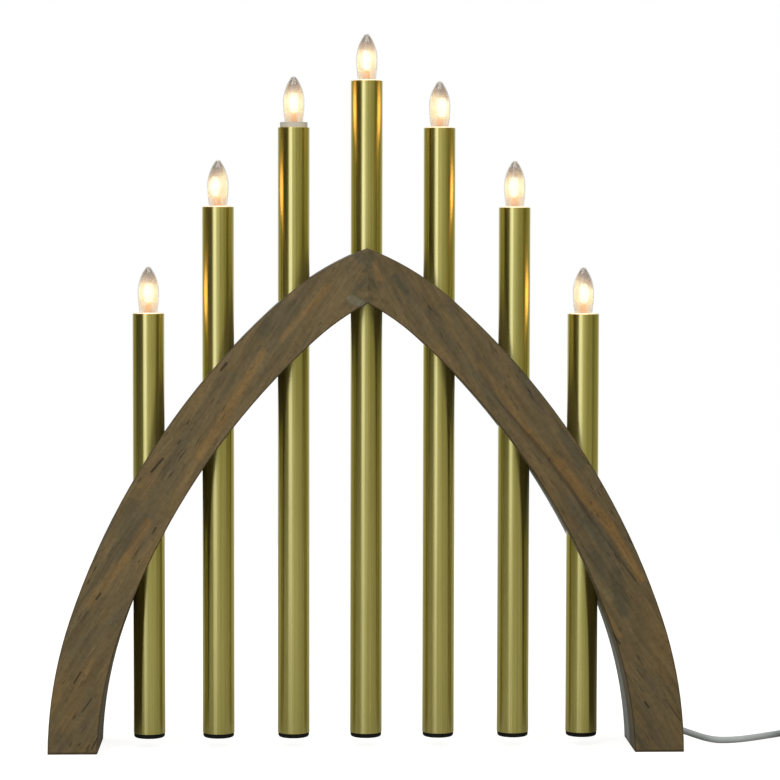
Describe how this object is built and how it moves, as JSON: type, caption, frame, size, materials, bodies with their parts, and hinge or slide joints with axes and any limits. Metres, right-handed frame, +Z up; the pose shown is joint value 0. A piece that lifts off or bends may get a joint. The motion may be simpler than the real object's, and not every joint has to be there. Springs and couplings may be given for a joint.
{
  "type": "electric candle arch",
  "caption": "Pointed wooden arch holding a row of upright brass candle tubes, each with a small electric candle lamp, and a mains cord.",
  "frame": {"origin": "on the floor under the middle of the arch, midway between front and back", "axes": "+Z up, -Y towards the viewer, +X to the side that the cord leaves"},
  "size_m": [0.6833, 0.0959, 0.5397],
  "materials": {
    "stained_wood": "brown stain, satin",
    "tube_brass": "polished, lacquered",
    "cap_plastic": "satin black",
    "holder_plastic": "satin",
    "lamp_glass": "clear, blown",
    "lamp_brass": "bright",
    "filament_glow": "glowing",
    "contact_metal": "dull solder",
    "spring_metal": "rolled strip",
    "wire_sleeve": "semi-gloss",
    "bush_plastic": "satin",
    "cord_sheath": "satin",
    "plug_plastic": "satin",
    "pin_nickel": "nickel plated"
  },
  "bodies": {
    "arch": {"arch_front_left": "stained_wood", "arch_front_right": "stained_wood", "arch_rear_left": "stained_wood", "arch_rear_right": "stained_wood", "candle_tube_1": "tube_brass", "end_cap_1": "cap_plastic", "lamp_holder_1": "holder_plastic", "candle_tube_2": "tube_brass", "end_cap_2": "cap_plastic", "lamp_holder_2": "holder_plastic", "candle_tube_3": "tube_brass", "end_cap_3": "cap_plastic", "lamp_holder_3": "holder_plastic", "candle_tube_4": "tube_brass", "end_cap_4": "cap_plastic", "lamp_holder_4": "holder_plastic", "candle_tube_5": "tube_brass", "end_cap_5": "cap_plastic", "lamp_holder_5": "holder_plastic", "candle_tube_6": "tube_brass", "end_cap_6": "cap_plastic", "lamp_holder_6": "holder_plastic", "candle_tube_7": "tube_brass", "end_cap_7": "cap_plastic", "lamp_holder_7": "holder_plastic", "holder_contacts": "spring_metal", "internal_wiring": "wire_sleeve", "cord_gland": "bush_plastic", "mains_cord": "cord_sheath", "cord_coil": "cord_sheath", "plug_body": "plug_plastic", "plug_pins": "pin_nickel"},
    "bulb_1_thread": {"bulb_contact_1": "contact_metal"},
    "bulb_1": {"bulb_glass_1": "lamp_glass", "bulb_screw_1": "lamp_brass", "bulb_filament_1": "filament_glow"},
    "bulb_2_thread": {"bulb_contact_2": "contact_metal"},
    "bulb_2": {"bulb_glass_2": "lamp_glass", "bulb_screw_2": "lamp_brass", "bulb_filament_2": "filament_glow"},
    "bulb_3_thread": {"bulb_contact_3": "contact_metal"},
    "bulb_3": {"bulb_glass_3": "lamp_glass", "bulb_screw_3": "lamp_brass", "bulb_filament_3": "filament_glow"},
    "bulb_4_thread": {"bulb_contact_4": "contact_metal"},
    "bulb_4": {"bulb_glass_4": "lamp_glass", "bulb_screw_4": "lamp_brass", "bulb_filament_4": "filament_glow"},
    "bulb_5_thread": {"bulb_contact_5": "contact_metal"},
    "bulb_5": {"bulb_glass_5": "lamp_glass", "bulb_screw_5": "lamp_brass", "bulb_filament_5": "filament_glow"},
    "bulb_6_thread": {"bulb_contact_6": "contact_metal"},
    "bulb_6": {"bulb_glass_6": "lamp_glass", "bulb_screw_6": "lamp_brass", "bulb_filament_6": "filament_glow"},
    "bulb_7_thread": {"bulb_contact_7": "contact_metal"},
    "bulb_7": {"bulb_glass_7": "lamp_glass", "bulb_screw_7": "lamp_brass", "bulb_filament_7": "filament_glow"}
  },
  "joints": [
    {"name": "bulb_1_lift", "type": "slide", "parent": "arch", "child": "bulb_1_thread", "axis": [0, 0, 1], "range_m": [0, 0.0082]},
    {"name": "bulb_1_turn", "type": "hinge", "parent": "bulb_1_thread", "child": "bulb_1", "pos_m": [-0.1645, 0, 0.3], "axis": [0, 0, 1], "range_deg": [0, 1620]},
    {"name": "bulb_2_lift", "type": "slide", "parent": "arch", "child": "bulb_2_thread", "axis": [0, 0, 1], "range_m": [0, 0.0082]},
    {"name": "bulb_2_turn", "type": "hinge", "parent": "bulb_2_thread", "child": "bulb_2", "pos_m": [-0.112, 0, 0.3], "axis": [0, 0, 1], "range_deg": [0, 1620]},
    {"name": "bulb_3_lift", "type": "slide", "parent": "arch", "child": "bulb_3_thread", "axis": [0, 0, 1], "range_m": [0, 0.0082]},
    {"name": "bulb_3_turn", "type": "hinge", "parent": "bulb_3_thread", "child": "bulb_3", "pos_m": [-0.055, 0, 0.3], "axis": [0, 0, 1], "range_deg": [0, 1620]},
    {"name": "bulb_4_lift", "type": "slide", "parent": "arch", "child": "bulb_4_thread", "axis": [0, 0, 1], "range_m": [0, 0.0082]},
    {"name": "bulb_4_turn", "type": "hinge", "parent": "bulb_4_thread", "child": "bulb_4", "pos_m": [0, 0, 0.3], "axis": [0, 0, 1], "range_deg": [0, 1620]},
    {"name": "bulb_5_lift", "type": "slide", "parent": "arch", "child": "bulb_5_thread", "axis": [0, 0, 1], "range_m": [0, 0.0082]},
    {"name": "bulb_5_turn", "type": "hinge", "parent": "bulb_5_thread", "child": "bulb_5", "pos_m": [0.055, 0, 0.3], "axis": [0, 0, 1], "range_deg": [0, 1620]},
    {"name": "bulb_6_lift", "type": "slide", "parent": "arch", "child": "bulb_6_thread", "axis": [0, 0, 1], "range_m": [0, 0.0082]},
    {"name": "bulb_6_turn", "type": "hinge", "parent": "bulb_6_thread", "child": "bulb_6", "pos_m": [0.112, 0, 0.3], "axis": [0, 0, 1], "range_deg": [0, 1620]},
    {"name": "bulb_7_lift", "type": "slide", "parent": "arch", "child": "bulb_7_thread", "axis": [0, 0, 1], "range_m": [0, 0.0082]},
    {"name": "bulb_7_turn", "type": "hinge", "parent": "bulb_7_thread", "child": "bulb_7", "pos_m": [0.1645, 0, 0.3], "axis": [0, 0, 1], "range_deg": [0, 1620]}
  ],
  "couplings": [
    {"joint": "bulb_1_lift", "follows": "bulb_1_turn", "m_per_rad": 0.00028871},
    {"joint": "bulb_2_lift", "follows": "bulb_2_turn", "m_per_rad": 0.00028871},
    {"joint": "bulb_3_lift", "follows": "bulb_3_turn", "m_per_rad": 0.00028871},
    {"joint": "bulb_4_lift", "follows": "bulb_4_turn", "m_per_rad": 0.00028871},
    {"joint": "bulb_5_lift", "follows": "bulb_5_turn", "m_per_rad": 0.00028871},
    {"joint": "bulb_6_lift", "follows": "bulb_6_turn", "m_per_rad": 0.00028871},
    {"joint": "bulb_7_lift", "follows": "bulb_7_turn", "m_per_rad": 0.00028871}
  ]
}
